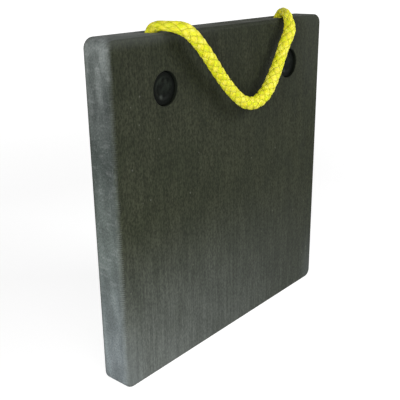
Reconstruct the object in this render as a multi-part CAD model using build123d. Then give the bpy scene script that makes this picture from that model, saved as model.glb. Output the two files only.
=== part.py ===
from build123d import *

import math
import os

# A jack plate: a square plastic slab that stands on its bottom edge, with a rope handle knotted into its top edge.
# X runs along the width, Y through the thickness with the front at -Y, and Z upwards from the edge it stands on.
# All sizes are in millimetres.

# Slab
plate_width = 400.0
plate_height = 400.0
plate_thickness = 40.0
corner_radius = 12.0
edge_radius = 5.0

# Pockets that are bored from the front for the knots
pocket_diameter = 38.0
pocket_depth = 35.0
pocket_inset = 80.0
pocket_drop = 59.0
pocket_chamfer = 0.8

# Rope channels, from the top edge down into the pockets
channel_diameter = 17.0
channel_mouth_radius = 5.0

# Rope and its stopper knots
rope_diameter = 15.0
knot_diameter = 28.0
knot_crown_diameter = 18.0
knot_length = 30.0
knot_heel_height = 5.0
knot_seat_gap = 0.2
knot_tail_diameter = 12.0
knot_tail_length = 3.5

# Plugs that close the pockets
plug_recess = 3.5
plug_thickness = 4.0
plug_side_gap = 0.25
plug_edge_chamfer = 1.0
plug_dish_diameter = 26.0
plug_dish_depth = 0.8
plug_dish_slope = 3.0
plug_back_diameter = 30.0
plug_back_depth = 2.0
plug_rib_width = 0.9
plug_rib_pitch = 1.6
plug_rib_count = 2

# Where things lie, worked out from the sizes above
front_y = -plate_thickness / 2
pocket_x = plate_width / 2 - pocket_inset
pocket_z = plate_height - pocket_drop
pocket_radius = pocket_diameter / 2
knot_radius = knot_diameter / 2
knot_crown = knot_crown_diameter / 2
knot_reach = pocket_radius - knot_seat_gap
knot_top = pocket_z + math.sqrt(knot_reach**2 - knot_crown**2)
knot_shoulder = pocket_z + math.sqrt(knot_reach**2 - knot_radius**2)

# The rope's route. Near each mouth a point is given from the mouth's centre: to the right, back and up.
left_mouth_points = [
    (0, 0, -31),
    (0.4, 0.3, -18),
    (-0.3, 0.5, -9),
    (-0.5, 0, -1.5),
    (1, -4, 4.5),
    (3, -10, 8),
    (5, -17, 8),
]
right_mouth_points = [
    (-9, -15.5, 8.2),
    (-5, -9, 8),
    (-2, -3.5, 4.5),
    (0, -0.5, -1.5),
    (0, 0.3, -9),
    (-0.4, 0.3, -18),
    (0, 0, -31),
]

# Over the front edge and in the hanging loop a point is given from the plate's middle, its front face and its top.
hanging_points = [
    (-110, -5, 6.5),
    (-100.5, -12, 2),
    (-89.5, -16.5, -8),
    (-71, -18, -26.5),
    (-49.5, -16.5, -49.5),
    (-26.5, -15.5, -72),
    (-2.5, -17, -91),
    (22, -17, -96),
    (45.5, -16.5, -86.5),
    (63, -15.5, -67.5),
    (75.5, -15.5, -48),
    (86.5, -15, -29.5),
    (96.5, -15, -16),
    (101, -10.5, -4.5),
    (105.5, -3.4, 5.8),
]

# Each arc of the rope takes up this share of the shorter run beside it
arc_share = 0.45


def make_plate():
    """The slab with its rounded corners and edges, the two pockets and the two rope channels."""
    outline = Plane.XZ * RectangleRounded(plate_width, plate_height, corner_radius)
    slab = extrude(outline, plate_thickness / 2, both=True)
    slab = Pos(0, 0, plate_height / 2) * slab
    rims = slab.edges().filter_by(lambda e: abs(abs(e.center().Y) - plate_thickness / 2) < 1e-6)
    slab = fillet(rims, edge_radius)
    for side in (-1, 1):
        slab -= pocket_void(side * pocket_x)
        slab -= channel_void(side * pocket_x)
    return slab


def pocket_void(x):
    """A blind bore from the front face, with a small chamfer at its rim."""
    flare = pocket_radius + pocket_chamfer
    profile = Polyline(
        (0, -pocket_chamfer),
        (flare + pocket_chamfer, -pocket_chamfer),
        (pocket_radius, pocket_chamfer),
        (pocket_radius, pocket_depth),
        (0, pocket_depth),
        close=True,
    )
    bore = revolve(make_face(profile), Axis.Y)
    return Pos(x, front_y, pocket_z) * bore


def channel_void(x):
    """A round hole from the top edge into the pocket, flared by a quarter circle where the rope bends over it."""
    radius = channel_diameter / 2
    depth = pocket_drop
    throat = -channel_mouth_radius
    rim = radius + channel_mouth_radius
    sketch = Plane.XZ * Polyline((0, -depth), (radius, -depth), (radius, throat))
    flare = Plane.XZ * RadiusArc((radius, throat), (rim, 0), channel_mouth_radius)
    lid = Plane.XZ * Polyline((rim, 0), (rim, 1), (0, 1), (0, -depth))
    profile = make_face(sketch.edges() + flare.edges() + lid.edges())
    return Pos(x, 0, plate_height) * revolve(profile, Axis.Z)


def make_knot(x):
    """The outer form of a stopper knot drawn tight: a barrel whose cone seats under the pocket's roof, and a tail."""
    tail = knot_tail_diameter / 2
    shoulder = knot_shoulder - knot_top
    end = -knot_length - knot_tail_length
    profile = Plane.XZ * Polyline(
        (0, 0),
        (knot_crown, 0),
        (knot_radius, shoulder),
        (knot_radius, knot_heel_height - knot_length),
        (tail, -knot_length),
        (tail, end),
        (0, end),
        close=True,
    )
    return Pos(x, 0, knot_top) * revolve(make_face(profile), Axis.Z)


def make_plug(x):
    """A moulded disc with a dished face, a hollow back for the knot and ribs round its rim that grip the pocket."""
    radius = pocket_radius - plug_side_gap
    dish = plug_dish_diameter / 2
    back = plug_back_diameter / 2
    profile = Plane.XZ * Polyline(
        (0, plug_back_depth),
        (back, plug_back_depth),
        (back, 0),
        (radius, 0),
        (radius, plug_thickness - plug_edge_chamfer),
        (radius - plug_edge_chamfer, plug_thickness),
        (dish, plug_thickness),
        (dish - plug_dish_slope, plug_thickness - plug_dish_depth),
        (0, plug_thickness - plug_dish_depth),
        close=True,
    )
    disc = revolve(make_face(profile), Axis.Z)
    for i in range(plug_rib_count):
        height = plug_rib_width + i * plug_rib_pitch
        disc += Pos(0, 0, height) * rib(radius)
    turned = Rotation(90, 0, 0) * disc
    return Pos(x, front_y + plug_recess + plug_thickness, pocket_z) * turned


def rib(radius):
    """One grip rib: a ring with a triangular section that just meets the pocket's wall."""
    half = plug_rib_width / 2
    inner = radius - plug_side_gap
    profile = Plane.XZ * Polyline(
        (inner, -half), (radius, -half), (pocket_radius, 0), (radius, half), (inner, half), close=True
    )
    return revolve(make_face(profile), Axis.Z)


def rope_route():
    """The points of the rope's path, from the left knot over the front and back to the right knot."""
    left = [Vector(x - pocket_x, y, z + plate_height) for x, y, z in left_mouth_points]
    front = [Vector(x, y + front_y, z + plate_height) for x, y, z in hanging_points]
    right = [Vector(x + pocket_x, y, z + plate_height) for x, y, z in right_mouth_points]
    start = Vector(-pocket_x, 0, knot_top)
    end = Vector(pocket_x, 0, knot_top)
    return [start, *left, *front, *right, end]


def arc_radii(points):
    """For each corner of the path, the radius of an arc that is tangent to both of its runs."""
    runs = [b - a for a, b in zip(points, points[1:])]
    radii = []
    for before, after in zip(runs, runs[1:]):
        half_turn = math.radians(before.get_angle(after)) / 2
        shorter = min(before.length, after.length)
        radii.append(arc_share * shorter / math.tan(half_turn))
    return radii


def make_rope():
    """The rope as a plain round tube along straight runs and tangent arcs."""
    points = rope_route()
    radii = arc_radii(points)
    path = FilletPolyline(*points, radius=radii)
    start = Plane(origin=points[0], z_dir=points[1] - points[0])
    tube = sweep(start * Circle(rope_diameter / 2), path=path)
    expected = math.pi * rope_diameter**2 / 4 * path.length
    print("rope radii", [round(r, 1) for r in radii])
    print(f"rope length {path.length:.1f}, volume {tube.volume:.0f}, section times length {expected:.0f}")
    return tube


def build():
    """Every piece of the jack plate, by name."""
    return {
        "plate": make_plate(),
        "rope_handle": make_rope(),
        "knot_left": make_knot(-pocket_x),
        "knot_right": make_knot(pocket_x),
        "plug_left": make_plug(-pocket_x),
        "plug_right": make_plug(pocket_x),
    }


os.makedirs("parts", exist_ok=True)
for name, solid in build().items():
    export_step(solid, f"parts/{name}.step")
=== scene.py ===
# %% [markdown]
# A jack plate is a thick square slab of dark plastic that goes under the foot of a jack, so that the jack
# doesn't sink into the ground. A yellow rope is its handle. Each end of the rope goes down through a hole
# in the top edge and is knotted in a pocket, and a moulded plug closes each pocket.
#
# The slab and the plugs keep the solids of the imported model, and get their finish here. The rope and its
# knots are soft and braided, so they are made here strand by strand.

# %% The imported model
import math

import bpy
from mathutils import Euler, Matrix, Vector


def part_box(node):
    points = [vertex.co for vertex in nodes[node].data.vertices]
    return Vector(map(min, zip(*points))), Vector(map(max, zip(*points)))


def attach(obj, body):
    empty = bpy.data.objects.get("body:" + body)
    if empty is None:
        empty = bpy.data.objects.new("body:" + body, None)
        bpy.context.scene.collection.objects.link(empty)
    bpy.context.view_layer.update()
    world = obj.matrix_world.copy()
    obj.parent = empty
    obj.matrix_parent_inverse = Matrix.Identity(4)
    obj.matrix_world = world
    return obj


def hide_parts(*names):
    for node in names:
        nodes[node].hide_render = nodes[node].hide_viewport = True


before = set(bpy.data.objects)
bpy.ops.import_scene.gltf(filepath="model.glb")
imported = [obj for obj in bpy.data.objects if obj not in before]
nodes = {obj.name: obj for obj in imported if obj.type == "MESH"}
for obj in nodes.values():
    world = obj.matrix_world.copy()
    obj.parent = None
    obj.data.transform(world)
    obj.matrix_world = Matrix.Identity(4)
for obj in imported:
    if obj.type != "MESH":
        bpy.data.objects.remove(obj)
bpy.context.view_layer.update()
scene = bpy.context.scene
low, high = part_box("plate")
front_y = low[1]
plate_top = high[2]
print("CAD nodes:", ", ".join(sorted(nodes)))

# %% [markdown]
# Three small helpers keep the node trees readable. The first adds a node and fills its inputs in order,
# with a number or with another node's output. The second does the same for one step of arithmetic, so that
# a formula reads as one. The third is the most common step, a product.


# %% Helpers for node trees
def add(tree, kind, *values, **settings):
    """Adds a node, sets it up, and fills its inputs in order. None leaves an input as it is."""
    node = tree.nodes.new(kind)
    for name, value in settings.items():
        setattr(node, name, value)
    for socket, value in zip(node.inputs, values):
        if isinstance(value, bpy.types.NodeSocket):
            tree.links.new(value, socket)
        elif value is not None:
            socket.default_value = value
    return node


def calc(tree, operation, *values):
    """One step of arithmetic, as a node's output."""
    return add(tree, "ShaderNodeMath", *values, operation=operation).outputs[0]


def times(tree, first, second):
    """The product of two values."""
    return calc(tree, "MULTIPLY", first, second)


# %% [markdown]
# The camera comes first, because everything after it is judged through it. Its place, turn and lens were
# fitted to the slab's outline and to the rims of its two pockets: a square of 400 mm that is 40 mm thick
# can be seen like this from one place only. It looks down by about 19 degrees onto the slab's front and its
# left side.

# %% Camera
camera_place = (-0.6499, -0.5171, 0.4676)
camera_turn = (70.684, 0.769, -49.861)
camera_lens = 60.62

camera_data = bpy.data.cameras.new("camera")
camera_data.lens = camera_lens
camera_data.sensor_width = 36.0
camera = bpy.data.objects.new("camera", camera_data)
camera.location = camera_place
camera.rotation_euler = Euler([math.radians(angle) for angle in camera_turn], "XYZ")
scene.collection.objects.link(camera)
scene.camera = camera
print("camera looks down by", round(90 - camera_turn[0], 1), "degrees")

# %% [markdown]
# The floor is one plain pale sheet, large enough to fill the view. Its own colour is a light grey that
# takes the slab's soft shadow. A part of its light is there only for the camera and for reflections, which
# brings the open floor up to white without more lamps on the slab. That part grows with the distance, as
# the lamps' own light fades there.

# %% Floor
floor_reach = 20.0
floor_colour = (0.42, 0.42, 0.42, 1.0)
floor_glow_near = 0.78
floor_glow_far = 1.06
glow_reaches = (0.7, 2.2)


def seen_or_mirrored(tree):
    """One for what the camera sees, also in a mirror or through glass, and nought for other light."""
    path = add(tree, "ShaderNodeLightPath")
    mirrored = calc(tree, "ADD", path.outputs["Is Glossy Ray"], path.outputs["Is Transmission Ray"])
    both = calc(tree, "ADD", path.outputs["Is Camera Ray"], mirrored)
    return calc(tree, "MINIMUM", both, 1.0)


def make_floor_finish():
    finish = bpy.data.materials.new("pale_floor")
    finish.use_nodes = True
    tree = finish.node_tree
    shader = tree.nodes["Principled BSDF"]
    shader.inputs["Base Color"].default_value = floor_colour
    shader.inputs["Roughness"].default_value = 0.9
    shader.inputs["Specular IOR Level"].default_value = 0.1
    place = add(tree, "ShaderNodeTexCoord").outputs["Object"]
    away = add(tree, "ShaderNodeVectorMath", place, operation="LENGTH").outputs["Value"]
    level = add(tree, "ShaderNodeMapRange", away, *glow_reaches, floor_glow_near, floor_glow_far).outputs[0]
    level = times(tree, level, seen_or_mirrored(tree))
    glow = add(tree, "ShaderNodeEmission", (1.0, 1.0, 1.0, 1.0), level)
    both = add(tree, "ShaderNodeAddShader", shader.outputs[0], glow.outputs[0])
    tree.links.new(both.outputs[0], tree.nodes["Material Output"].inputs["Surface"])
    return finish


floor_mesh = bpy.data.meshes.new("floor")
corners = [(-floor_reach, -floor_reach, 0), (floor_reach, -floor_reach, 0)]
corners += [(floor_reach, floor_reach, 0), (-floor_reach, floor_reach, 0)]
floor_mesh.from_pydata(corners, [], [(0, 1, 2, 3)])
floor_mesh.materials.append(make_floor_finish())
floor = bpy.data.objects.new("floor", floor_mesh)
scene.collection.objects.link(floor)
print("floor", 2 * floor_reach, "m across")

# %% [markdown]
# The light is that of a bright room with a large window to the left and in front of the slab. The window
# lights the narrow side, which is the brightest face, and the rope. The key lamp is a wide one in front, to
# the right and above, so that the rope's shadow is soft and falls just down and to the left of it. A low
# fill near the bottom left corner copies light thrown up from the floor.

# %% Lamps and sky
sky_light = 0.07
lamps = {
    "window": {"place": (-1.52, -0.72, 0.80), "aim": (-0.1, 0.0, 0.2), "size": 1.0, "watts": 28.0},
    "key": {"place": (0.68, -0.93, 0.90), "aim": (0.0, 0.0, 0.28), "size": 0.60, "watts": 13.5},
    "fill": {"place": (-0.42, -0.42, 0.10), "aim": (-0.16, 0.0, 0.05), "size": 0.30, "watts": 1.8},
}


def make_lamp(name, place, aim, size, watts):
    """A square lamp that faces its aim."""
    data = bpy.data.lights.new(name, "AREA")
    data.shape = "SQUARE"
    data.size = size
    data.energy = watts
    lamp = bpy.data.objects.new(name, data)
    lamp.location = place
    lamp.rotation_euler = (Vector(aim) - Vector(place)).to_track_quat("-Z", "Y").to_euler()
    lamp.visible_camera = False
    scene.collection.objects.link(lamp)
    return lamp


for name, facts in lamps.items():
    make_lamp(name, **facts)

sky = bpy.data.worlds.new("sky")
sky.use_nodes = True
scene.world = sky
tree = sky.node_tree
strength = calc(tree, "MULTIPLY_ADD", seen_or_mirrored(tree), 1.0 - sky_light, sky_light)
tree.nodes["Background"].inputs["Color"].default_value = (1.0, 1.0, 1.0, 1.0)
tree.links.new(strength, tree.nodes["Background"].inputs["Strength"])
scene.view_settings.view_transform = "Standard"
print("lamps:", ", ".join(lamps))

# %% [markdown]
# The slab is sawn and planed from a thick sheet of recycled polyethylene. Such plastic is a dark olive
# grey, and it is never one even colour: the planer leaves fine upright grain on the two large faces, the
# melt leaves soft cloudy patches, and light grit shows as small specks. The two narrow sides are sawn and
# much paler: partly the sawn surface, and partly painted light from the window on that side. The round
# blade leaves slanted arcs on them. The cutter that rounds the edges chatters and leaves ticks.
#
# A photograph could be wrapped round the slab, but noise in the slab's own coordinates has no seams and
# stays sharp from near. The helpers below read those coordinates, stretch noise along them and mix colours.

# %% Helpers for finishes
slab_half_width = high[0]
slab_half_depth = high[1]
slab_middle_height = plate_top / 2


def object_axes(tree):
    """The place in the piece's own coordinates, whole and as X, Y and Z."""
    place = add(tree, "ShaderNodeTexCoord").outputs["Object"]
    axes = add(tree, "ShaderNodeSeparateXYZ", place).outputs
    return place, axes[0], axes[1], axes[2]


def ramp(tree, value, start, end, low_value=0.0, high_value=1.0):
    """A smooth step from one value to another, flat outside of its two ends."""
    step = add(tree, "ShaderNodeMapRange", value, start, end, low_value, high_value)
    step.interpolation_type = "SMOOTHSTEP"
    return step.outputs[0]


def noise(tree, place, scale, detail=2.0, turn=(0.0, 0.0, 0.0)):
    """Noise whose grain can be stretched: the scale is the number of grains in a metre along each axis."""
    stretched = add(tree, "ShaderNodeMapping", place, None, [math.radians(angle) for angle in turn], scale)
    grains = add(tree, "ShaderNodeTexNoise", stretched.outputs[0])
    grains.inputs["Scale"].default_value = 1.0
    grains.inputs["Detail"].default_value = detail
    return grains.outputs["Fac"]


def distance_from(tree, place, centre):
    """How far a place lies from a point."""
    return add(tree, "ShaderNodeVectorMath", place, centre, operation="DISTANCE").outputs["Value"]


def blend(tree, share, below, above):
    """A mix of two colours, each given as a colour or as another node's output."""
    node = add(tree, "ShaderNodeMix", share, data_type="RGBA")
    for socket, colour in ((node.inputs[6], below), (node.inputs[7], above)):
        if isinstance(colour, bpy.types.NodeSocket):
            tree.links.new(colour, socket)
        else:
            socket.default_value = colour
    return node.outputs[2]


def scaled(tree, colour, factor):
    """A colour made lighter or darker by a factor."""
    node = add(tree, "ShaderNodeVectorMath", colour, operation="SCALE")
    tree.links.new(factor, node.inputs["Scale"])
    return node.outputs[0]


def raise_surface(tree, shader, height, strength, depth):
    """Tilts the light on a surface as if the height were really there, up to a depth in metres."""
    bump = add(tree, "ShaderNodeBump")
    bump.inputs["Strength"].default_value = strength
    bump.inputs["Distance"].default_value = depth
    tree.links.new(height, bump.inputs["Height"])
    tree.links.new(bump.outputs[0], shader.inputs["Normal"])


print("slab", 2 * slab_half_width, "m wide and", 2 * slab_half_depth, "m thick")

# %% [markdown]
# The slab is one solid with one material, so masks tell its parts apart. A point's depth inside each pair
# of faces is easy to work out from its coordinates. Where it is nearer to a narrow side than to a large
# face, the point is on the side, and a little noise makes that line as rough as the sawn edge is. The ends
# are told apart in the same way, and the walls of the two pockets by the distance from their axes; these
# walls get painted shade, a near-black that stands for the shadow inside the pockets. Each pair of numbers
# below gives where such a mask starts and where it is full, in metres.

# %% Masks for the slab
plug_low, plug_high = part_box("plug_right")
pocket_x = (plug_low[0] + plug_high[0]) / 2
pocket_z = (plug_low[2] + plug_high[2]) / 2
pocket_radius = (plug_high[2] - plug_low[2]) / 2
back_wall = 0.003
edge_noise = (420.0, 420.0, 380.0)
edge_roughness = 0.005
side_line = (-0.0048, 0.0080)
side_fade = (-0.022, -0.004)
end_line = (-0.0010, 0.0016)
pocket_shade_line = (0.0004, 0.0001)


def depths_inside(tree, x, y, z):
    """How far a point lies inside the large faces, the narrow sides, and the top and bottom ends."""
    from_face = calc(tree, "SUBTRACT", slab_half_depth, calc(tree, "ABSOLUTE", y))
    from_side = calc(tree, "SUBTRACT", slab_half_width, calc(tree, "ABSOLUTE", x))
    from_middle = calc(tree, "ABSOLUTE", calc(tree, "SUBTRACT", z, slab_middle_height))
    from_end = calc(tree, "SUBTRACT", slab_middle_height, from_middle)
    return {"face": from_face, "side": from_side, "end": from_end}


def side_mask(tree, place, inside):
    """One on the narrow sides, with a rough line along the large faces and a long fade into the ends."""
    rough = calc(tree, "MULTIPLY_ADD", noise(tree, place, edge_noise), edge_roughness, -edge_roughness / 2)
    nearer = calc(tree, "ADD", calc(tree, "SUBTRACT", inside["face"], inside["side"]), rough)
    off_end = ramp(tree, calc(tree, "SUBTRACT", inside["end"], inside["side"]), *side_fade)
    return times(tree, ramp(tree, nearer, *side_line), off_end)


def end_mask(tree, inside):
    """One on the top and bottom ends."""
    return ramp(tree, calc(tree, "SUBTRACT", inside["face"], inside["end"]), *end_line)


def pocket_shade_mask(tree, x, y, z):
    """One on the walls of the two pockets, which get painted shade, and nought on the back, which the
    pockets don't reach.
    """
    off_axis = calc(tree, "SUBTRACT", calc(tree, "ABSOLUTE", x), pocket_x)
    off_height = calc(tree, "SUBTRACT", z, pocket_z)
    across = add(tree, "ShaderNodeCombineXYZ", off_axis, off_height, 0.0).outputs[0]
    from_axis = distance_from(tree, across, (0.0, 0.0, 0.0))
    from_wall = calc(tree, "SUBTRACT", from_axis, pocket_radius)
    bored = ramp(tree, from_wall, *pocket_shade_line)
    return times(tree, bored, calc(tree, "LESS_THAN", y, slab_half_depth - back_wall))


print(f"pockets {pocket_x * 1000:.0f} mm from the middle, {pocket_radius * 2000:.0f} mm across")

# %% [markdown]
# The two planed faces are built up in layers. First comes the plastic with its clouds, then the planer's
# fine grain and longer streaks. A pale grey grows towards the ground and towards the near side: partly
# scuffs, and partly a painted reflection of the floor. Along the top edge a painted highlight grows towards
# the near side, the bottom corners get dust and a painted reflection of the floor, the far top corner gets
# a painted sheen, and painted shade darkens the face towards the top. Last come a few specks of grit. The
# same grain is returned with the colour, because the surface's height follows it too.

# %% The planed faces
slab_colours = {
    "planed": (0.0165, 0.0192, 0.0110, 1.0),
    "cloudy": (0.0220, 0.0246, 0.0150, 1.0),
    # A pale grey for scuffs, also used for painted sheen and highlights.
    "scuff_and_sheen": (0.1080, 0.1180, 0.1110, 1.0),
    # The sawn colours are paler than the planed ones partly from the sawn surface and partly as painted
    # light.
    "sawn_and_lit": (0.0760, 0.0900, 0.0830, 1.0),
    "sawn_pale_and_lit": (0.1750, 0.1900, 0.1840, 1.0),
    # Dust and a painted reflection of the floor, low on the faces and the sides.
    "dust_and_sheen": (0.1480, 0.1680, 0.1760, 1.0),
    "grit": (0.1300, 0.1350, 0.1100, 1.0),
    # Painted shade: a near-black laid on the pocket walls for the shadow inside the pockets.
    "bored": (0.0060, 0.0075, 0.0050, 1.0),
}
face_grain = (620.0, 620.0, 330.0)
face_streaks = (420.0, 420.0, 16.0)
face_clouds = (38.0, 38.0, 22.0)
speck_cells = (75.0, 75.0, 55.0)
most_scuffs_and_sheen = 0.85
most_edge_highlight = 0.27
most_corner_dust_and_sheen = 0.22
most_far_sheen = 0.10
speck_rarity = 0.72
speck_strength = 0.55


def plain_colour(tree, colour):
    """A colour as a node's output, so that it can be scaled."""
    source = add(tree, "ShaderNodeRGB")
    source.outputs[0].default_value = colour
    return source.outputs[0]


def planed_face(tree, place, x, z, inside):
    """The colour of the large faces, with painted light and shade in it, and the grain, streaks and clouds
    that were used for it.
    """
    grain = noise(tree, place, face_grain)
    streaks = noise(tree, place, face_streaks)
    clouds = noise(tree, place, face_clouds, 3.0)
    face = blend(tree, ramp(tree, clouds, 0.38, 0.62), slab_colours["planed"], slab_colours["cloudy"])
    face = scaled(tree, face, ramp(tree, grain, 0.28, 0.72, 0.60, 1.44))

    # Scuffs that grow towards the ground and the near side, partly a painted reflection of the floor
    low_down = ramp(tree, z, 0.21, -0.03)
    outward = ramp(tree, x, 0.24, -0.20, 0.25, 1.0)
    scuffs_and_floor_sheen = times(tree, times(tree, low_down, outward), ramp(tree, clouds, 0.25, 0.70, 0.72, 1.0))
    scuff_and_sheen = plain_colour(tree, slab_colours["scuff_and_sheen"])
    scuff_and_sheen = scaled(tree, scuff_and_sheen, ramp(tree, grain, 0.28, 0.72, 0.82, 1.18))
    face = blend(tree, times(tree, scuffs_and_floor_sheen, most_scuffs_and_sheen), face, scuff_and_sheen)
    face = scaled(tree, face, ramp(tree, streaks, 0.30, 0.70, 0.86, 1.16))

    # A painted highlight along the top edge, dust and a painted floor reflection at the bottom corners, and
    # a painted sheen at the far top corner
    at_top = ramp(tree, inside["end"], 0.015, 0.001)
    # Painted highlight along the top edge, growing towards the near side.
    painted_edge_highlight = times(tree, at_top, ramp(tree, x, 0.02, -0.16, 0.0, most_edge_highlight))
    face = blend(tree, painted_edge_highlight, face, slab_colours["scuff_and_sheen"])
    beside_edge = ramp(tree, inside["side"], 0.040, 0.002)
    # Dust and a painted reflection of the floor at the bottom corners.
    corner_dust_and_sheen = times(tree, beside_edge, ramp(tree, z, 0.10, 0.0, 0.0, most_corner_dust_and_sheen))
    face = blend(tree, corner_dust_and_sheen, face, slab_colours["dust_and_sheen"])
    # Painted sheen: the far top corner of the face is made paler.
    painted_far_sheen = times(tree, ramp(tree, x, 0.12, 0.19, 0.0, most_far_sheen), ramp(tree, z, 0.26, 0.36))
    face = blend(tree, painted_far_sheen, face, slab_colours["scuff_and_sheen"])
    # Painted shade: the face is made darker towards the top.
    face = scaled(tree, face, ramp(tree, z, 0.22, 0.37, 1.08, 0.94))
    face = blend(tree, specks(tree, place), face, slab_colours["grit"])
    return face, grain, streaks, clouds


def specks(tree, place):
    """Specks of light grit, a few in each hand's width: the middles of some of the Voronoi cells."""
    spread = add(tree, "ShaderNodeMapping", place, None, None, speck_cells).outputs[0]
    cells = add(tree, "ShaderNodeTexVoronoi", spread)
    cells.inputs["Scale"].default_value = 1.0
    chance = add(tree, "ShaderNodeSeparateXYZ", cells.outputs["Color"]).outputs[0]
    rare = calc(tree, "GREATER_THAN", chance, speck_rarity)
    speck = times(tree, ramp(tree, cells.outputs["Distance"], 0.085, 0.03), rare)
    return times(tree, speck, speck_strength)


print("grains of the planed face in a metre:", face_grain)

# %% [markdown]
# A round saw blade is fed along the narrow sides, so its teeth leave one arc after another. Such an arc is
# a part of a circle as wide as the blade, and a sine wave over the distance from it gives them all at one
# pitch. Slanted noise stands for the stray scratches, patches for where the side was rubbed, and fine noise
# for the torn tooth of the plastic, with small painted glints on it. The side's brightness is also painted
# by height: painted shade makes it darkest high up, just below a painted highlight along its top, and it
# gets paler towards the ground with dust and a painted reflection of the floor.

# %% The sawn sides
saw_radius = 0.15
saw_centre = -0.09
saw_pitch = 0.0043
side_scratches = (200.0, 60.0, 160.0)
side_patches = (40.0, 60.0, 22.0)
side_tooth = (520.0, 520.0, 460.0)
side_painted_glints = (480.0, 480.0, 440.0)
arc_strength = 0.12
most_side_dust_and_sheen = 0.85


def saw_arcs(tree, y, z):
    """Waves that follow the edge of the round saw blade as it is fed along the side."""
    away = calc(tree, "SUBTRACT", y, saw_centre)
    inside_blade = calc(tree, "MULTIPLY_ADD", times(tree, away, away), -1.0, saw_radius * saw_radius)
    arc = calc(tree, "SUBTRACT", z, calc(tree, "SQRT", inside_blade))
    return calc(tree, "SINE", times(tree, arc, math.tau / saw_pitch))


def sawn_side(tree, place, y, z):
    """The colour of the narrow sides, with painted light in it, and the arcs and the tooth that were used
    for it.
    """
    arcs = saw_arcs(tree, y, z)
    scratches = noise(tree, place, side_scratches, 2.0, (38.0, 0.0, 0.0))
    patches = noise(tree, place, side_patches, 3.0, (20.0, 0.0, 0.0))
    tooth = noise(tree, place, side_tooth)
    arc_share = times(tree, ramp(tree, arcs, 0.0, 0.9), ramp(tree, patches, 0.45, 0.65))
    pale = calc(tree, "MULTIPLY_ADD", arc_share, arc_strength, ramp(tree, scratches, 0.50, 0.74, 0.0, 0.45))
    rubbed_high_up = times(tree, ramp(tree, z, 0.27, 0.36), ramp(tree, patches, 0.30, 0.60, 0.15, 0.55))
    pale = calc(tree, "ADD", pale, rubbed_high_up)
    side = blend(tree, pale, slab_colours["sawn_and_lit"], slab_colours["sawn_pale_and_lit"])
    # Dust and a painted reflection of the floor, growing towards the ground.
    side = blend(tree, ramp(tree, z, 0.20, 0.00, 0.0, most_side_dust_and_sheen), side, slab_colours["dust_and_sheen"])

    # Lighter and darker stretches, painted light by height from the ground to the top, and the torn tooth
    # with its painted glints
    side = scaled(tree, side, ramp(tree, patches, 0.30, 0.70, 0.78, 1.22))
    # Painted light by height: paler low down, darkest high up, and a painted highlight along the top.
    painted_light_by_height = calc(tree, "ADD", ramp(tree, z, 0.15, 0.32, 1.20, 0.66), ramp(tree, z, 0.32, 0.37, 0.0, 0.34))
    side = scaled(tree, side, painted_light_by_height)
    side = scaled(tree, side, ramp(tree, tooth, 0.28, 0.72, 0.80, 1.22))
    # Painted glints: small pale flecks that stand for glints of light on the torn plastic.
    painted_glints = ramp(tree, noise(tree, place, side_painted_glints, 1.0), 0.60, 0.74, 0.0, 0.45)
    side = blend(tree, times(tree, painted_glints, ramp(tree, z, 0.06, 0.16)), side, slab_colours["sawn_pale_and_lit"])
    return side, arcs, tooth


print("saw arcs every", saw_pitch * 1000, "mm")

# %% [markdown]
# Two small things are left: the top and bottom ends, which are planed lengthways, and the ticks along the
# rounded upright edges. A round edge is cut by a small turning cutter. When it chatters it leaves a row of
# ticks, evenly spaced but never quite, which is a sine wave whose place wanders. They show most low down.

# %% The ends and the cutter's ticks
end_grain = (26.0, 520.0, 520.0)
most_end_sheen = 0.58
chatter_pitch = 0.0024
chatter_wander = 5.0
wander_noise = (0.0, 0.0, 260.0)
chatter_patches = (0.0, 0.0, 30.0)


def planed_end(tree, place, x, face):
    """The colour of the top and bottom ends, made from the face's own, with a painted sheen towards the
    near side.
    """
    lengthways = noise(tree, place, end_grain)
    end = scaled(tree, face, ramp(tree, lengthways, 0.30, 0.70, 0.70, 1.25))
    # Painted sheen: the ends are made paler towards the near side.
    return blend(tree, ramp(tree, x, -0.04, -0.17, 0.0, most_end_sheen), end, slab_colours["scuff_and_sheen"])


def cutter_ticks(tree, place, z, inside):
    """Ticks that the edge cutter left where the sides turn into the large faces."""
    wander = times(tree, noise(tree, place, wander_noise, 1.0), chatter_wander)
    ticks = calc(tree, "SINE", calc(tree, "MULTIPLY_ADD", z, math.tau / chatter_pitch, wander))
    beside_face = ramp(tree, inside["face"], 0.0065, 0.0035)
    on_edge = times(tree, beside_face, ramp(tree, inside["side"], 0.0060, 0.0035))
    patchy = ramp(tree, noise(tree, place, chatter_patches), 0.36, 0.56)
    patchy = times(tree, patchy, ramp(tree, z, 0.28, 0.16, 0.25, 1.0))
    return times(tree, times(tree, ramp(tree, ticks, -0.2, 0.8), on_edge), patchy)


print("ticks every", chatter_pitch * 1000, "mm")

# %% [markdown]
# Now the parts are laid over each other in one material: the face, the ends, the sides, the painted shade
# on the pocket walls, and the ticks. The surface's height follows the same grain and arcs as the colour
# does, so that light catches the marks where they are seen.

# %% The slab's finish
tick_strength = 0.24
tick_height = 0.30
slab_bump_strength = 0.55
slab_bump_depth = 0.00025


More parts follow.
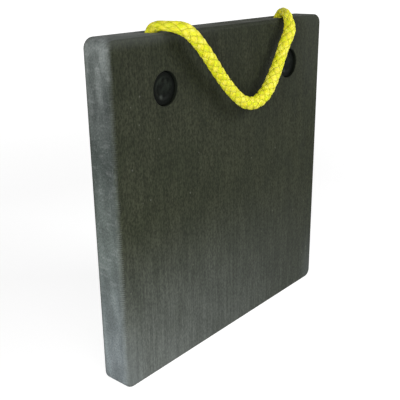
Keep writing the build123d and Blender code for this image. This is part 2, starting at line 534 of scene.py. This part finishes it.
def make_slab_finish():
    finish = bpy.data.materials.new("planed_slab_plastic")
    finish.use_nodes = True
    tree = finish.node_tree
    shader = tree.nodes["Principled BSDF"]
    place, x, y, z = object_axes(tree)
    inside = depths_inside(tree, x, y, z)
    on_side = side_mask(tree, place, inside)
    face, grain, streaks, clouds = planed_face(tree, place, x, z, inside)
    side, arcs, tooth = sawn_side(tree, place, y, z)
    ticks = cutter_ticks(tree, place, z, inside)

    colour = blend(tree, end_mask(tree, inside), face, planed_end(tree, place, x, face))
    colour = blend(tree, on_side, colour, side)
    # Painted shade on the pocket walls.
    colour = blend(tree, pocket_shade_mask(tree, x, y, z), colour, slab_colours["bored"])
    colour = blend(tree, times(tree, ticks, tick_strength), colour, slab_colours["sawn_pale_and_lit"])
    tree.links.new(colour, shader.inputs["Base Color"])

    face_height = calc(tree, "MULTIPLY_ADD", grain, 0.5, times(tree, streaks, 0.35))
    side_height = calc(tree, "MULTIPLY_ADD", arcs, 0.16, times(tree, tooth, 0.5))
    height = add(tree, "ShaderNodeMix", on_side, None, face_height, side_height, data_type="FLOAT")
    height = calc(tree, "MULTIPLY_ADD", ticks, tick_height, height.outputs[0])
    raise_surface(tree, shader, height, slab_bump_strength, slab_bump_depth)
    tree.links.new(ramp(tree, clouds, 0.30, 0.70, 0.55, 0.72), shader.inputs["Roughness"])
    shader.inputs["Specular IOR Level"].default_value = 0.06
    return finish


def dress(node, finish):
    """Gives a CAD node a finish in place of its plain colour."""
    piece = nodes[node]
    for slot in piece.material_slots:
        slot.material = finish
    print(node, "now has the finish", finish.name)


dress("plate", make_slab_finish())

# %% [markdown]
# Each plug is a disc of black moulded plastic that was tapped into its pocket. Its face is dished, and the
# mould left a fine skin on it. Dust greys it a little in the dish, and a painted sheen makes the dish paler
# towards its top. One small pale spot low on the left is a painted highlight. All of this is placed by the
# distance from the plug's own centre, which a Mapping node brings to the middle of the pattern.

# %% The plugs' finish
plug_black = (0.0015, 0.0022, 0.0015, 1.0)
plug_dust_and_sheen = (0.0120, 0.0155, 0.0118, 1.0)
plug_painted_highlight = (0.036, 0.041, 0.036, 1.0)
plug_skin = (1500.0, 1500.0, 1500.0)
plug_dust = (190.0, 190.0, 150.0)
dish_radius = 0.013
dish_slope = 0.002
highlight_place = (-0.004, 0.0, -0.0095)
highlight_radius = 0.0042
highlight_core = 0.0010
highlight_strength = 0.8
plug_bump_strength = 0.5
plug_bump_depth = 0.00015


def make_plug_finish(name, box):
    finish = bpy.data.materials.new(name)
    finish.use_nodes = True
    tree = finish.node_tree
    shader = tree.nodes["Principled BSDF"]
    to_middle = [-(a + b) / 2 for a, b in zip(*box)]
    place = add(tree, "ShaderNodeTexCoord").outputs["Object"]
    centred = add(tree, "ShaderNodeMapping", place, to_middle).outputs[0]
    axes = add(tree, "ShaderNodeSeparateXYZ", centred).outputs
    flat = add(tree, "ShaderNodeCombineXYZ", axes[0], 0.0, axes[2]).outputs[0]
    from_middle = distance_from(tree, flat, (0.0, 0.0, 0.0))
    in_dish = ramp(tree, from_middle, dish_radius + dish_slope, dish_radius - dish_slope)
    skin = noise(tree, centred, plug_skin)
    dust = noise(tree, centred, plug_dust, 3.0)
    # Painted sheen: the dish is paler towards its top.
    painted_sheen_high_up = ramp(tree, axes[2], -0.012, 0.012, 0.25, 1.0)
    dust_and_sheen = times(tree, times(tree, in_dish, painted_sheen_high_up), ramp(tree, dust, 0.36, 0.66))
    colour = blend(tree, dust_and_sheen, plug_black, plug_dust_and_sheen)
    # Painted highlight: a small pale spot low on the left of the dish.
    painted_highlight_spot = ramp(tree, distance_from(tree, centred, highlight_place), highlight_radius, highlight_core)
    colour = blend(tree, times(tree, painted_highlight_spot, highlight_strength), colour, plug_painted_highlight)
    colour = scaled(tree, colour, ramp(tree, skin, 0.25, 0.75, 0.75, 1.25))
    tree.links.new(colour, shader.inputs["Base Color"])
    height = calc(tree, "MULTIPLY_ADD", dust, 0.8, skin)
    raise_surface(tree, shader, height, plug_bump_strength, plug_bump_depth)
    tree.links.new(ramp(tree, dust, 0.30, 0.70, 0.42, 0.62), shader.inputs["Roughness"])
    shader.inputs["Specular IOR Level"].default_value = 0.04
    return finish


for side in ("left", "right"):
    node = "plug_" + side
    dress(node, make_plug_finish("moulded_" + node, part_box(node)))

# %% [markdown]
# The rope's route is a list of points: out of the left hole, over the front edge, down in one deep loop
# that hangs close in front of the slab, and back into the right hole. The points come from a fit to the
# rope's middle line as the camera sees it, rounded to half a millimetre, and the ones near the holes were
# then moved. A smooth spline takes the points as its control points, so the rope bends as one
# curve. Near the holes a point counts from the hole's mouth, and elsewhere from the middle of the slab's
# top front edge.

# %% The rope's route
knot_x = sum(corner[0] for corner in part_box("knot_right")) / 2
knot_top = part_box("knot_right")[1][2]

left_mouth_points = [
    (0, 0, -0.031),
    (0.0004, 0.0003, -0.018),
    (-0.0003, 0.0005, -0.009),
    (-0.0005, 0, -0.0015),
    (-0.0005, -0.004, 0.004),
    (0.002, -0.010, 0.0066),
    (0.005, -0.017, 0.0064),
]
hanging_points = [
    (-0.109, -0.0045, 0.0056),
    (-0.0995, -0.012, 0.0026),
    (-0.089, -0.0165, -0.0074),
    (-0.071, -0.018, -0.0265),
    (-0.0495, -0.0165, -0.0495),
    (-0.0265, -0.0155, -0.072),
    (-0.0025, -0.017, -0.091),
    (0.022, -0.017, -0.096),
    (0.0455, -0.0165, -0.0865),
    (0.063, -0.0155, -0.0675),
    (0.0755, -0.0155, -0.048),
    (0.0865, -0.015, -0.0295),
    (0.0980, -0.0150, -0.016),
    (0.1035, -0.0105, -0.0055),
    (0.1085, -0.0030, 0.0048),
]
right_mouth_points = [
    (-0.0055, -0.0155, 0.0068),
    (-0.002, -0.0095, 0.0068),
    (0.0008, -0.004, 0.004),
    (0.0012, -0.0005, -0.0015),
    (0, 0.0003, -0.009),
    (-0.0004, 0.0003, -0.018),
    (0, 0, -0.031),
]


def shifted(points, x, y, z):
    """The points, moved by X, Y and Z."""
    return [(a + x, b + y, c + z) for a, b, c in points]


rope_points = [
    (-knot_x, 0.0, knot_top),
    *shifted(left_mouth_points, -knot_x, 0.0, plate_top),
    *shifted(hanging_points, 0.0, front_y, plate_top),
    *shifted(right_mouth_points, knot_x, 0.0, plate_top),
    (knot_x, 0.0, knot_top),
]


def smooth_line(name, points, steps=16):
    """The points of a smooth open spline whose control points are given."""
    data = bpy.data.curves.new(name, "CURVE")
    data.dimensions = "3D"
    data.resolution_u = steps
    spline = data.splines.new("NURBS")
    spline.points.add(len(points) - 1)
    for point, place in zip(spline.points, points):
        point.co = (*place, 1.0)
    spline.order_u = 3
    spline.use_endpoint_u = True
    carrier = bpy.data.objects.new(name, data)
    scene.collection.objects.link(carrier)
    bpy.context.view_layer.update()
    mesh = bpy.data.meshes.new_from_object(carrier)
    line = [tuple(vertex.co) for vertex in mesh.vertices]
    bpy.data.objects.remove(carrier)
    bpy.data.meshes.remove(mesh)
    return line


rope_line = smooth_line("rope_route", rope_points)

# %% [markdown]
# The rope is a hollow braid of eight flat strands. Four wind to the left and four to the right, and each
# passes over one strand of the other way and under the next. This follows a rule, so Geometry Nodes make
# it. First the tree builds eight straight ribbons side by side, with the position along and across each
# ribbon stored on its points. Then it wraps every point round the route: the angle grows with the distance
# along the rope, and the radius swells and shrinks as the strand passes over and under. A ribbon is a
# bundle of three yarns, so its section has three lobes.

# %% The braid's tree
strands_each_way = 4
strand_yarns = 3
section_points = 8 * strand_yarns
braid_sizes = {
    "Lay": 0.048,
    "Middle radius": 0.0056,
    "Weave depth": 0.0007,
    "Ribbon width": 0.0079,
    "Ribbon thickness": 0.0024,
    "Core radius": 0.0050,
    "Step": 0.0014,
}
yarn_groove = 0.20
weave_squareness = 1.35
route_step = 0.001
core_step = 0.003
core_sides = 16
yarn_height = 0.8
weave_height = 0.3


def new_tree(name, sizes):
    """A Geometry Nodes tree with a geometry input and one named input for each size."""
    tree = bpy.data.node_groups.new(name, "GeometryNodeTree")
    tree.interface.new_socket("Centreline", in_out="INPUT", socket_type="NodeSocketGeometry")
    for label, value in sizes.items():
        socket = tree.interface.new_socket(label, in_out="INPUT", socket_type="NodeSocketFloat")
        socket.default_value = value
    ways = tree.interface.new_socket("Strands each way", in_out="INPUT", socket_type="NodeSocketInt")
    ways.default_value = strands_each_way
    tree.interface.new_socket("Finish", in_out="INPUT", socket_type="NodeSocketMaterial")
    tree.interface.new_socket("Mesh", in_out="OUTPUT", socket_type="NodeSocketGeometry")
    return tree


def capture(tree, geometry, domain, label, kind, value):
    """Keeps a value on the geometry's points or curves, and gives the geometry and the kept value."""
    node = tree.nodes.new("GeometryNodeCaptureAttribute")
    node.domain = domain
    node.capture_items.new(kind, label)
    tree.links.new(geometry, node.inputs[0])
    tree.links.new(value, node.inputs[1])
    return node.outputs[0], node.outputs[1]


def ribbon_section(tree, width, thickness):
    """A closed flat outline of lobes. It gives the curve, and the place across and out of each point."""
    circle = add(tree, "GeometryNodeCurvePrimitiveCircle", section_points)
    share = calc(tree, "DIVIDE", add(tree, "GeometryNodeInputIndex").outputs[0], float(section_points))
    half_way = calc(tree, "ABSOLUTE", calc(tree, "SUBTRACT", share, 0.5))
    across_share = calc(tree, "MULTIPLY_ADD", half_way, 2.0, -0.5)
    top_side = calc(tree, "MULTIPLY_ADD", calc(tree, "LESS_THAN", share, 0.5), 2.0, -1.0)
    to_edge = calc(tree, "POWER", times(tree, calc(tree, "ABSOLUTE", across_share), 2.0), 2.0)
    round_edge = calc(tree, "POWER", calc(tree, "SUBTRACT", 1.0, to_edge), 0.5)
    wave = calc(tree, "COSINE", times(tree, across_share, math.pi * strand_yarns))
    lobe = calc(tree, "MULTIPLY_ADD", calc(tree, "ABSOLUTE", wave), yarn_groove, 1.0 - yarn_groove)
    half_height = times(tree, times(tree, round_edge, lobe), 0.5)
    out = times(tree, times(tree, half_height, top_side), thickness)
    across = times(tree, across_share, width)
    flat = add(tree, "ShaderNodeCombineXYZ", across, out, 0.0)
    kept, across_kept = capture(tree, circle.outputs[0], "POINT", "Across", "FLOAT", across)
    kept, out_kept = capture(tree, kept, "POINT", "Out", "FLOAT", out)
    shaped = add(tree, "GeometryNodeSetPosition", kept, None, flat.outputs[0])
    return shaped.outputs[0], across_kept, out_kept


def build_braid_tree():
    tree = new_tree("braid", braid_sizes)
    given = tree.nodes.new("NodeGroupInput").outputs
    ways = given["Strands each way"]
    line = add(tree, "GeometryNodeMeshToCurve", given["Centreline"])
    line = add(tree, "GeometryNodeResampleCurve", line.outputs[0], mode="LENGTH")
    line.inputs["Length"].default_value = route_step
    total = add(tree, "GeometryNodeCurveLength", line.outputs[0]).outputs[0]

    # Eight straight ribbons, each with its number and its length along
    far_end = add(tree, "ShaderNodeCombineXYZ", 0.0, 0.0, total).outputs[0]
    straight = add(tree, "GeometryNodeCurvePrimitiveLine", (0.0, 0.0, 0.0), far_end)
    count = calc(tree, "CEIL", calc(tree, "DIVIDE", total, given["Step"]))
    straight = add(tree, "GeometryNodeResampleCurve", straight.outputs[0], None, count)
    eight = add(tree, "GeometryNodeDuplicateElements", straight.outputs[0], domain="SPLINE")
    tree.links.new(times(tree, ways, 2.0), eight.inputs["Amount"])
    curves, number = capture(tree, eight.outputs[0], "CURVE", "Strand", "INT", eight.outputs[1])
    along_here = add(tree, "GeometryNodeSplineParameter").outputs["Length"]
    curves, along = capture(tree, curves, "POINT", "Along", "FLOAT", along_here)
    section, across, out = ribbon_section(tree, given["Ribbon width"], given["Ribbon thickness"])
    ribbons = add(tree, "GeometryNodeCurveToMesh", curves, section)
    ribbons.inputs["Fill Caps"].default_value = True

    # Half of the strands turn one way and half the other, and neighbours pass over and under in turn
    turned_left = calc(tree, "LESS_THAN", number, ways)
    way = calc(tree, "MULTIPLY_ADD", turned_left, 2.0, -1.0)
    place = calc(tree, "MODULO", number, ways)
    parity = calc(tree, "MULTIPLY_ADD", calc(tree, "MODULO", place, 2.0), -2.0, 1.0)
    slope = calc(tree, "DIVIDE", times(tree, given["Middle radius"], math.tau), given["Lay"])
    angle = calc(tree, "ARCTANGENT", slope)
    across_along = times(tree, times(tree, across, calc(tree, "SINE", angle)), way)
    distance = calc(tree, "SUBTRACT", along, across_along)
    distance = calc(tree, "MINIMUM", calc(tree, "MAXIMUM", distance, 0.0), total)
    start_turn = calc(tree, "DIVIDE", times(tree, place, math.tau), ways)
    along_turn = calc(tree, "DIVIDE", times(tree, along, math.tau), given["Lay"])
    round_share = times(tree, across, calc(tree, "COSINE", angle))
    across_turn = calc(tree, "DIVIDE", round_share, given["Middle radius"])
    turn = calc(tree, "ADD", calc(tree, "MULTIPLY_ADD", along_turn, way, start_turn), across_turn)
    distance_turn = calc(tree, "DIVIDE", times(tree, distance, math.tau), given["Lay"])
    crossing = calc(tree, "MULTIPLY_ADD", distance_turn, way, turn)
    beat = calc(tree, "COSINE", times(tree, crossing, calc(tree, "DIVIDE", ways, 2.0)))
    beat = times(tree, times(tree, beat, weave_squareness), times(tree, parity, way))
    beat = calc(tree, "MINIMUM", calc(tree, "MAXIMUM", beat, -1.0), 1.0)
    radius = calc(tree, "MULTIPLY_ADD", beat, given["Weave depth"], given["Middle radius"])
    radius = calc(tree, "ADD", radius, out)

    # The same point, carried onto the rope's route
    girth = add(tree, "GeometryNodeInputNamedAttribute", "girth", data_type="FLOAT").outputs[0]
    sample = add(tree, "GeometryNodeSampleCurve", line.outputs[0], girth, mode="LENGTH")
    sample.use_all_curves = True
    tree.links.new(distance, sample.inputs["Length"])
    radius = times(tree, radius, sample.outputs["Value"])
    tangent, normal = sample.outputs["Tangent"], sample.outputs["Normal"]
    third_axis = add(tree, "ShaderNodeVectorMath", tangent, normal, operation="CROSS_PRODUCT")
    sideways = add(tree, "ShaderNodeVectorMath", normal, operation="SCALE")
    tree.links.new(times(tree, radius, calc(tree, "COSINE", turn)), sideways.inputs["Scale"])
    upward = add(tree, "ShaderNodeVectorMath", third_axis.outputs[0], operation="SCALE")
    tree.links.new(times(tree, radius, calc(tree, "SINE", turn)), upward.inputs["Scale"])
    offset = add(tree, "ShaderNodeVectorMath", sideways.outputs[0], upward.outputs[0], operation="ADD")
    centre = sample.outputs["Position"]
    target = add(tree, "ShaderNodeVectorMath", centre, offset.outputs[0], operation="ADD")
    wrapped = add(tree, "GeometryNodeSetPosition", ribbons.outputs[0], None, target.outputs[0])

    # What the finish needs: a UV map along each strand, how far out a point lies, and the strand's number
    strand_uv = add(tree, "ShaderNodeCombineXYZ", across, along, 0.0).outputs[0]
    out_share = calc(tree, "DIVIDE", out, given["Ribbon thickness"])
    height = calc(tree, "MULTIPLY_ADD", beat, weave_height, weave_height)
    height = calc(tree, "MULTIPLY_ADD", out_share, yarn_height, height)
    dressed = store(tree, wrapped.outputs[0], "CORNER", "FLOAT2", "strand_uv", strand_uv)
    dressed = store(tree, dressed, "POINT", "FLOAT", "height", height)
    dressed = store(tree, dressed, "POINT", "FLOAT", "strand", number)

    # A plain core closes the small gaps between the strands
    ring = add(tree, "GeometryNodeCurvePrimitiveCircle", core_sides)
    tree.links.new(given["Core radius"], ring.inputs["Radius"])
    core_line = add(tree, "GeometryNodeResampleCurve", line.outputs[0], mode="LENGTH")
    core_line.inputs["Length"].default_value = core_step
    core = add(tree, "GeometryNodeCurveToMesh", core_line.outputs[0], ring.outputs[0])
    core.inputs["Fill Caps"].default_value = True
    core_girth = add(tree, "GeometryNodeInputNamedAttribute", "girth", data_type="FLOAT").outputs[0]
    tree.links.new(core_girth, core.inputs["Scale"])

    joined = add(tree, "GeometryNodeJoinGeometry")
    tree.links.new(core.outputs[0], joined.inputs[0])
    tree.links.new(dressed, joined.inputs[0])
    real = add(tree, "GeometryNodeRealizeInstances", joined.outputs[0])
    smooth = add(tree, "GeometryNodeSetShadeSmooth", real.outputs[0])
    painted = add(tree, "GeometryNodeSetMaterial", smooth.outputs[0])
    tree.links.new(given["Finish"], painted.inputs["Material"])
    tree.links.new(painted.outputs[0], tree.nodes.new("NodeGroupOutput").inputs[0])
    return tree


def store(tree, geometry, domain, kind, name, value):
    """Keeps a value on the mesh under a name that the finish can read."""
    node = tree.nodes.new("GeometryNodeStoreNamedAttribute")
    node.data_type = kind
    node.domain = domain
    node.inputs["Name"].default_value = name
    tree.links.new(geometry, node.inputs["Geometry"])
    tree.links.new(value, node.inputs["Value"])
    return node.outputs[0]


braid_tree = build_braid_tree()
print("braid tree with", len(braid_tree.nodes), "nodes")

# %% [markdown]
# The rope is bright yellow plastic fibre. Its strands get a painted highlight where they lie outside and
# painted shade, darker and greener, in the crevices between them. The strands that wind to the left are
# more golden. Fine fibres run along every strand: noise that is stretched along the strand's own UV map
# makes them, both in the colour and in the surface. Some light goes into the fibre and comes out again
# close by, which keeps the shaded side bright.

# %% The rope's finish
rope_gold = (0.740, 0.628, 0.033, 1.0)
rope_lemon = (0.612, 0.640, 0.010, 1.0)
rope_painted_highlight = (0.820, 0.760, 0.125, 1.0)
rope_painted_crevice_shade = (0.520, 0.530, 0.010, 1.0)
rope_fibres = (2600.0, 60.0, 1.0)
rope_patches = (260.0, 75.0, 1.0)
rope_bump_strength = 0.4
rope_bump_depth = 0.00025
light_depth = 0.005
light_reach = (1.0, 0.9, 0.25)


def make_rope_finish():
    finish = bpy.data.materials.new("braided_yellow_rope")
    finish.use_nodes = True
    tree = finish.node_tree
    shader = tree.nodes["Principled BSDF"]
    uv = add(tree, "ShaderNodeUVMap", uv_map="strand_uv").outputs[0]
    fibres = noise(tree, uv, rope_fibres)
    patches = noise(tree, uv, rope_patches)
    height = add(tree, "ShaderNodeAttribute", attribute_name="height").outputs["Fac"]
    strand = add(tree, "ShaderNodeAttribute", attribute_name="strand").outputs["Fac"]
    leftward = calc(tree, "LESS_THAN", strand, strands_each_way - 0.5)
    golden = calc(tree, "MULTIPLY_ADD", leftward, 0.55, ramp(tree, patches, 0.35, 0.70, 0.0, 0.6))
    body = blend(tree, golden, rope_lemon, rope_gold)
    # Painted shade: darker, greener colour in the crevices between the strands.
    body = blend(tree, ramp(tree, height, 0.02, 0.42), rope_painted_crevice_shade, body)
    # Painted highlight on the crowns where the strands lie outside.
    painted_crown_highlight = times(tree, ramp(tree, height, 0.60, 1.0), ramp(tree, patches, 0.45, 0.70))
    body = blend(tree, times(tree, painted_crown_highlight, 0.8), body, rope_painted_highlight)
    body = scaled(tree, body, ramp(tree, fibres, 0.30, 0.70, 0.86, 1.08))
    tree.links.new(body, shader.inputs["Base Color"])
    raise_surface(tree, shader, fibres, rope_bump_strength, rope_bump_depth)
    shader.inputs["Roughness"].default_value = 0.5
    shader.inputs["Specular IOR Level"].default_value = 0.14
    shader.inputs["Subsurface Weight"].default_value = 0.55
    shader.inputs["Subsurface Radius"].default_value = light_reach
    shader.inputs["Subsurface Scale"].default_value = light_depth
    return finish


rope_finish = make_rope_finish()
print("rope finish:", rope_finish.name)

# %% [markdown]
# Now the tree is put on the route. The route becomes a plain line of vertices, each with its girth: 1 is
# the full diameter, and less is where the rope is squeezed. Each stop is a distance along the rope and its
# girth there, set after the rope's measured width: the rope is squeezed where it leaves each hole,
# swells a little in the loop, and tapers into its knots. The result is turned into a plain mesh, so that no
# modifier is left on the finished piece.


# %% The rope
def braided(name, line, girths):
    """A braid along a line, as a plain mesh object."""
    edges = [(i, i + 1) for i in range(len(line) - 1)]
    mesh = bpy.data.meshes.new(name + "_line")
    mesh.from_pydata(line, edges, [])
    mesh.attributes.new("girth", "FLOAT", "POINT").data.foreach_set("value", girths)
    carrier = bpy.data.objects.new(name + "_line", mesh)
    scene.collection.objects.link(carrier)
    modifier = carrier.modifiers.new("braid", "NODES")
    modifier.node_group = braid_tree
    for socket in braid_tree.interface.items_tree:
        if socket.in_out == "INPUT" and socket.name == "Finish":
            modifier[socket.identifier] = rope_finish
    bpy.context.view_layer.update()
    graph = bpy.context.evaluated_depsgraph_get()
    shape = carrier.evaluated_get(graph)
    result = bpy.data.meshes.new_from_object(shape, preserve_all_data_layers=True, depsgraph=graph)
    bpy.data.objects.remove(carrier)
    piece = bpy.data.objects.new(name, result)
    scene.collection.objects.link(piece)
    print(f"{name}: {len(result.vertices)} vertices, {len(result.polygons)} faces")
    return piece


girth_stops = [
    (0.000, 0.86), (0.004, 0.97), (0.040, 0.97), (0.048, 0.84), (0.056, 0.76), (0.066, 0.77), (0.075, 0.93),
    (0.084, 1.06), (0.097, 1.05), (0.112, 1.01), (0.140, 1.01), (0.162, 0.98), (0.205, 0.98), (0.225, 1.07),
    (0.248, 1.13), (0.266, 1.17), (0.287, 1.13), (0.300, 1.09), (0.320, 1.01), (0.345, 1.06), (0.358, 1.08),
    (0.368, 0.96), (0.377, 0.84), (0.392, 0.79), (0.404, 0.80), (0.416, 0.88), (0.428, 0.97), (0.449, 0.97),
    (0.4535, 0.86),
]


def girths_along(line, stops):
    """The girth at each point of a line, eased from stop to stop along its length."""
    result = []
    travelled = 0.0
    for before, here in zip([line[0], *line], line):
        travelled += math.dist(before, here)
        place = max(i for i, (start, _) in enumerate(stops[:-1]) if start <= travelled)
        (start, first), (end, last) = stops[place], stops[place + 1]
        share = (travelled - start) / (end - start)
        result.append(first + (last - first) * share * share * (3 - 2 * share))
    return result


rope = braided("rope_braid", rope_line, girths_along(rope_line, girth_stops))

# %% [markdown]
# Each end of the rope is tied in a stopper knot, which is too thick for the channel above it. The plug
# hides it, but it shows when the plug is taken out to change the rope. So the knot is tied from a real
# path: down the middle, out and once round itself, and down again through its own loop. Pulling it tight
# under the pocket's roof squeezes the hollow braid, so its girth shrinks on the way in. The first point
# lies inside the rope's end, so that no gap shows between the two.

# %% The knots
knot_girth = 0.58
knot_start_girth = 0.93
knot_squeeze_length = 0.013
knot_points = [
    (0.000, 0.000, 0.003),
    (0.000, 0.000, -0.005),
    (0.002, -0.003, -0.011),
    (0.007, -0.006, -0.018),
    (0.008, 0.002, -0.025),
    (0.000, 0.008, -0.026),
    (-0.008, 0.004, -0.019),
    (-0.007, -0.004, -0.011),
    (0.000, -0.009, -0.009),
    (0.008, -0.002, -0.010),
    (0.005, 0.006, -0.013),
    (0.000, 0.002, -0.020),
    (0.000, 0.000, -0.027),
    (0.000, 0.000, -0.0335),
]


def tied_knot(name, x):
    """A stopper knot under the end of the rope at X, as braid along the knot's own path."""
    mirror = 1 if x > 0 else -1
    turned = [(mirror * a, b, c) for a, b, c in knot_points]
    line = smooth_line(name + "_route", shifted(turned, x, 0.0, knot_top))
    stops = [(0.0, knot_start_girth), (knot_squeeze_length, knot_girth), (1.0, knot_girth)]
    return braided(name, line, girths_along(line, stops))


knots = {
    "knot_left": tied_knot("knot_braid_left", -knot_x),
    "knot_right": tied_knot("knot_braid_right", knot_x),
}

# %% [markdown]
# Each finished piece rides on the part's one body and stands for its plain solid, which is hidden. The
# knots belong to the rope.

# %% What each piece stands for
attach(rope, "root")
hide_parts("rope_handle")
for node, knot in knots.items():
    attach(knot, "root")
    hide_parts(node)
